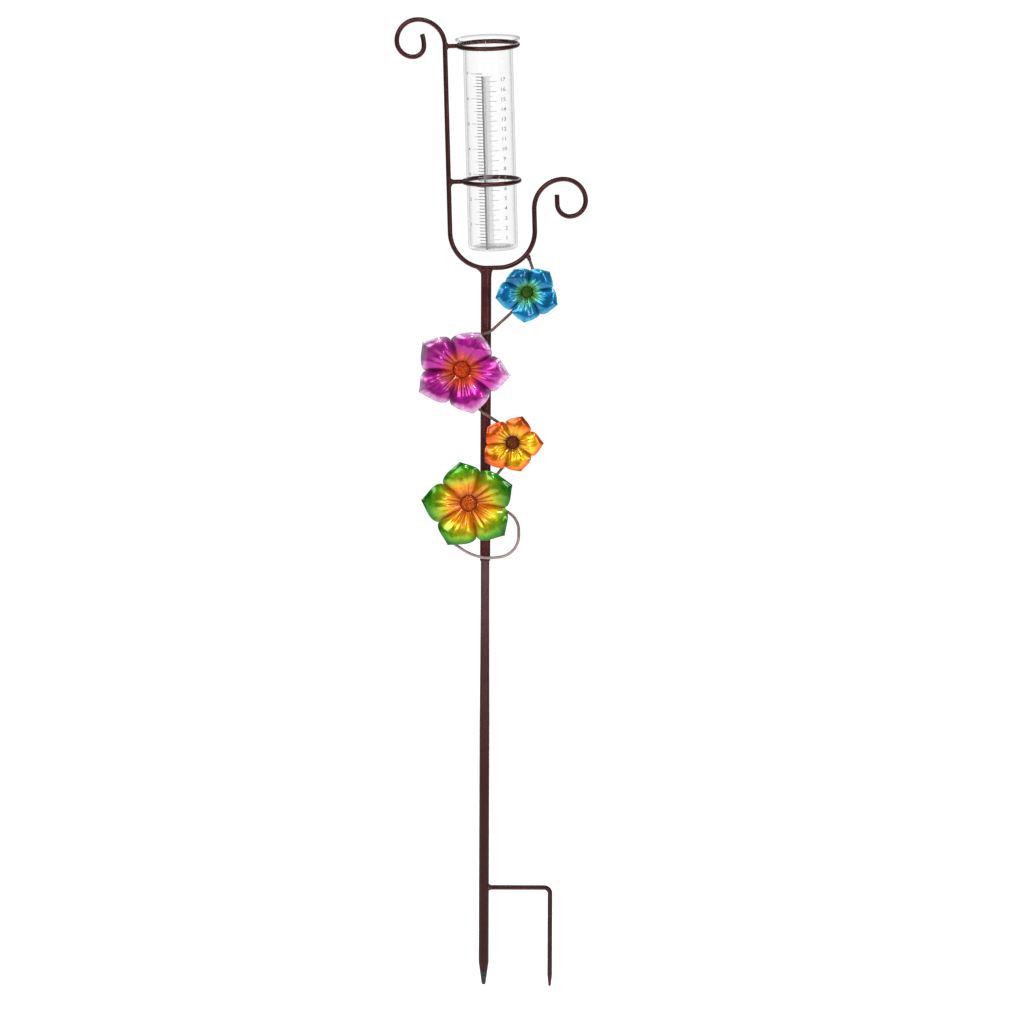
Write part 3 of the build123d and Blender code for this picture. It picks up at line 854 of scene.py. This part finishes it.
def tube_profile():
    """The tube's section as (radius, height), from the middle of its base, up the outside,
    over the rim and down the inside to the middle of the floor. The flare's radius is the one
    that just rests on the ring's wire."""
    reach = UPPER_RING_R - TUBE_R
    climb = UPPER_RING_Z - FLARE_START
    clear = RING_WIRE_R + RING_GAP
    flare = (reach ** 2 + climb ** 2 - clear ** 2) / (2 * (reach - clear))
    turn = math.acos(1 - (RIM_R - RIM_ROUND - TUBE_R) / flare)
    flare_middle = (TUBE_R + flare, FLARE_START)
    bore = TUBE_R - TUBE_WALL
    floor = TUBE_BOTTOM + TUBE_FLOOR
    quarter = math.pi / 2

    points = [(0.0, TUBE_BOTTOM + BASE_HOLLOW), (8 * MM, TUBE_BOTTOM + 0.6 * BASE_HOLLOW)]
    points += [(r, TUBE_BOTTOM) for r in (15 * MM, 18 * MM, TUBE_R - CORNER_R)]
    corner = (TUBE_R - CORNER_R, TUBE_BOTTOM + CORNER_R)
    points += arc(corner, CORNER_R, -quarter, quarter, CORNER_STEPS)
    points += wall(TUBE_R, TUBE_BOTTOM + CORNER_R, FLARE_START)
    points += arc(flare_middle, flare, math.pi, -turn, FLARE_ROWS)

    inside = arc(flare_middle, flare + TUBE_WALL, math.pi - turn, turn, FLARE_ROWS, first=0)
    (r0, z0), (r1, z1) = points[-1], inside[0]
    rim = ((r0 + r1) / 2, (z0 + z1) / 2)
    start = math.atan2(z0 - rim[1], r0 - rim[0])
    points += arc(rim, 0.5 * math.hypot(r1 - r0, z1 - z0), start, math.pi, CORNER_STEPS)[:-1]

    points += inside
    points += wall(bore, FLARE_START, floor + INNER_CORNER_R)
    corner = (bore - INNER_CORNER_R, floor + INNER_CORNER_R)
    points += arc(corner, INNER_CORNER_R, 0.0, -quarter, CORNER_STEPS)
    points += [(14 * MM, floor), (7 * MM, floor), (0.0, floor)]
    return points


ON_TUBE = ON_HEAD @ Matrix.Translation((TUBE_X, 0, 0))


def make_tube():
    """Turned glass: one closed skin, so light passes each face as in the real tube."""
    profile = tube_profile()
    cols = TUBE_COLS
    points = [(0, 0, profile[0][1])]
    rings = profile[1:-1]
    for r, z in rings:
        points += circle(r, z, cols)
    top = len(points)
    points.append((0, 0, profile[-1][1]))
    faces = rings_to_faces(len(rings), cols, 1)
    last = 1 + (len(rings) - 1) * cols
    for j in range(cols):
        k = (j + 1) % cols
        faces.append((0, 1 + k, 1 + j))
        faces.append((last + j, last + k, top))
    mesh = mesh_from("clear_tube", points, faces)
    lip = max(z for _, z in profile)
    # Painted shade: the glass is greyed toward the lip, standing in for the darker look of the thick
    # rolled rim.
    clear = [1 - LIP_SHADE * smooth(lip - LIP_HIGH, lip - 0.4 * LIP_HIGH, p[2]) for p in points]
    paint(mesh, [(v, v, v) for v in clear])
    obj = make_object("clear_tube", mesh, GLASS, ON_TUBE)
    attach(obj, "gauge")
    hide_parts("glass_tube")
    return obj


make_tube()

# ---------------------------------------------------------------- printed scale
SCALE_ZERO = TUBE_BOTTOM + 2.2 * MM
SCALE_HIGH = 175.5 * MM
SPINE_X = -6.3 * MM
SPINE_HALF = 1.0 * MM
SPINE_STEPS = 60
INK_R = TUBE_R + 0.03 * MM
STRIP = 1.5 * MM             # a mark is bent round the tube in strips about as wide as this
INCH = 25.4 * MM

# Marks are (length, thickness) in mm: the longest that divides the reading, then the next.
MM_MARKS = ((10, 14.5, 0.5), (5, 9.5, 0.42), (1, 7.6, 0.36))
EIGHTH_MARKS = ((8, 11.5, 0.45), (4, 9.0, 0.45), (1, 6.8, 0.45))
MM_STUB = (3.4, 0.6)         # the thick start of each mark, along the spine
EIGHTH_STUB = (6.0, 0.95)


class Print:
    """Ink on the tube's front. x goes across it as seen from there, z up it."""

    def __init__(self):
        self.points = []
        self.faces = []

    def place(self, x, z):
        a = math.asin(max(-0.999, min(0.999, x / TUBE_R)))
        return (INK_R * math.sin(a), -INK_R * math.cos(a), z)

    def patch(self, x0, x1, z0, z1):
        n = len(self.points)
        self.points += [self.place(x, z) for x, z in ((x0, z0), (x1, z0), (x1, z1), (x0, z1))]
        self.faces.append((n, n + 1, n + 2, n + 3))

    def mark(self, length, z, thick):
        """A line from the spine; to the left where its length, in mm, is below 0."""
        x0, x1 = sorted((SPINE_X, SPINE_X + length * MM))
        strips = max(1, int((x1 - x0) / STRIP))
        for k in range(strips):
            a = x0 + (x1 - x0) * k / strips
            b = x0 + (x1 - x0) * (k + 1) / strips
            self.patch(a, b, z - thick * MM / 2, z + thick * MM / 2)

    def text(self, words, x, z, size):
        """Characters with their middle at x and z, wrapped on the tube."""
        curve = bpy.data.curves.new("words", "FONT")
        curve.body = words
        curve.size = size
        curve.align_x = "CENTER"
        curve.align_y = "CENTER"
        curve.resolution_u = 3
        curve.offset = 0.01 * size
        obj = bpy.data.objects.new("words", curve)
        bpy.context.scene.collection.objects.link(obj)
        bpy.context.view_layer.update()
        flat = obj.evaluated_get(bpy.context.evaluated_depsgraph_get())
        made = bpy.data.meshes.new_from_object(flat)
        n = len(self.points)
        self.points += [self.place(x + v.co.x, z + v.co.y) for v in made.vertices]
        self.faces += [tuple(n + i for i in p.vertices) for p in made.polygons]
        bpy.data.objects.remove(obj)
        bpy.data.meshes.remove(made)


def make_scale():
    """The printed scale: a spine, millimetres and centimetres to its right, inches to its left."""
    ink = Print()
    step = SCALE_HIGH / SPINE_STEPS
    for k in range(SPINE_STEPS):
        low = SCALE_ZERO + step * k
        ink.patch(SPINE_X - SPINE_HALF, SPINE_X + SPINE_HALF, low, low + step)
    for count, unit, marks, stub, side in (
        (175, MM, MM_MARKS, MM_STUB, 1),
        (56, INCH / 8, EIGHTH_MARKS, EIGHTH_STUB, -1),
    ):
        for reading in range(1, count + 1):
            z = SCALE_ZERO + reading * unit
            length, thick = next(m[1:] for m in marks if reading % m[0] == 0)
            ink.mark(side * length, z, thick)
            ink.mark(side * stub[0], z, stub[1])
    for cm in range(1, 18):
        ink.text(str(cm), 14.0 * MM, SCALE_ZERO + (cm * 10 + 1.2) * MM, 5.4 * MM)
    for inch in range(1, 8):
        ink.text(str(inch), -21.0 * MM, SCALE_ZERO + inch * INCH - 0.6 * MM, 4.4 * MM)
    ink.text("cm", 14.6 * MM, SCALE_ZERO + 3.4 * MM, 4.6 * MM)
    mesh = mesh_from("printed_scale", ink.points, ink.faces)
    obj = make_object("printed_scale", mesh, INK, ON_TUBE)
    for p in obj.data.polygons:
        p.use_smooth = False
    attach(obj, "gauge")
    return obj


make_scale()

# ---------------------------------------------------------------- floor, light and camera
FLOOR_Z = -96.5 * MM
NEAR_HALF = 1.5          # the part of the floor that light bounces off
NEAR_FRONT = 1.5
NEAR_BACK = 12.0
ROOM_HALF = 45.0         # the walls stand behind a camera that is 30 metres off on any side
ROOM_HIGH = 30.0


def floor_paint():
    """Matt pale paint with a faint grain, glowing a little so that it stays pale all over."""
    s = Shader("Floor")
    s.feed("Base Color", s.grey_ramp(s.noise(14, 3), [(0.3, 0.88), (0.7, 0.9)]))
    s.set(Roughness=0.9, Emission_Color=(1.0, 1.0, 1.0, 1.0), Emission_Strength=0.86)
    return s


def camera_only(obj):
    """Seen by the camera, left out of reflections and bounced light."""
    obj.visible_glossy = False
    obj.visible_diffuse = False
    obj.visible_shadow = False


def rectangle(half, front, back):
    return [(-half, front), (half, front), (half, back), (-half, back)]


def make_floor():
    """A pale floor under the object, the same floor on all round it, and a wall far away."""
    paint = floor_paint()
    near = rectangle(NEAR_HALF, -NEAR_FRONT, NEAR_BACK)
    far = rectangle(ROOM_HALF, -ROOM_HALF, ROOM_HALF)
    ring = [(*p, FLOOR_Z) for p in near + far]
    ring_faces = [(4 + j, 4 + (j + 1) % 4, (j + 1) % 4, j) for j in range(4)]
    walls = [(*p, FLOOR_Z) for p in far] + [(*p, ROOM_HIGH) for p in far]
    wall_faces = [((j + 1) % 4, j, 4 + j, 4 + (j + 1) % 4) for j in range(4)]
    floor = make_object("floor", mesh_from("floor", ring[:4], [(0, 1, 2, 3)]), paint)
    around = make_object("floor_around", mesh_from("floor_around", ring, ring_faces), paint)
    backdrop = make_object("backdrop", mesh_from("backdrop", walls, wall_faces), paint)
    camera_only(around)
    camera_only(backdrop)


MIDDLE = Vector((0.0, 0.0, 0.45))


def area_light(name, place, width, height, radiance):
    """A softbox that faces the middle of the object."""
    data = bpy.data.lights.new(name, "AREA")
    data.shape = "RECTANGLE"
    data.size = width
    data.size_y = height
    data.energy = radiance * width * height * math.pi
    obj = bpy.data.objects.new(name, data)
    obj.location = place
    obj.rotation_euler = (MIDDLE - Vector(place)).to_track_quat("-Z", "Y").to_euler()
    bpy.context.scene.collection.objects.link(obj)


make_floor()
area_light("key", (-1.2, -2.5, 1.9), width=1.5, height=1.5, radiance=5.4)
area_light("side", (1.5, -1.9, 1.1), width=0.22, height=1.5, radiance=11)
area_light("spot", (0.35, -1.6, 2.5), width=0.22, height=0.22, radiance=60)
area_light("back", (0.6, 2.2, 1.8), width=1.2, height=0.8, radiance=3)

world = bpy.data.worlds.new("studio")
world.use_nodes = True
sky = world.node_tree.nodes["Background"]
sky.inputs["Color"].default_value = (1, 1, 1, 1)
sky.inputs["Strength"].default_value = 0.2
bpy.context.scene.world = world

CAMERA_UP = math.radians(8.3)
CAMERA_ROLL = math.radians(0.22)
CAMERA_FAR = 30.0
CLIP_FAR = 200.0
SENSOR_WIDTH = 36.0          # in mm, like the lens
VIEW_WIDTH = 1.0281          # metres across the picture at the object
TARGET = Vector((26.8 * MM, 0.0, 386.2 * MM))

camera_data = bpy.data.cameras.new("camera")
camera_data.sensor_width = SENSOR_WIDTH
camera_data.lens = SENSOR_WIDTH * CAMERA_FAR / VIEW_WIDTH
camera_data.clip_end = CLIP_FAR
camera = bpy.data.objects.new("camera", camera_data)
look = Matrix.Rotation(math.pi / 2 - CAMERA_UP, 4, "X") @ Matrix.Rotation(CAMERA_ROLL, 4, "Z")
away = Vector((0, -math.cos(CAMERA_UP), math.sin(CAMERA_UP))) * CAMERA_FAR
camera.matrix_world = Matrix.Translation(TARGET + away) @ look
bpy.context.scene.collection.objects.link(camera)
bpy.context.scene.camera = camera
bpy.context.scene.view_settings.view_transform = "Standard"
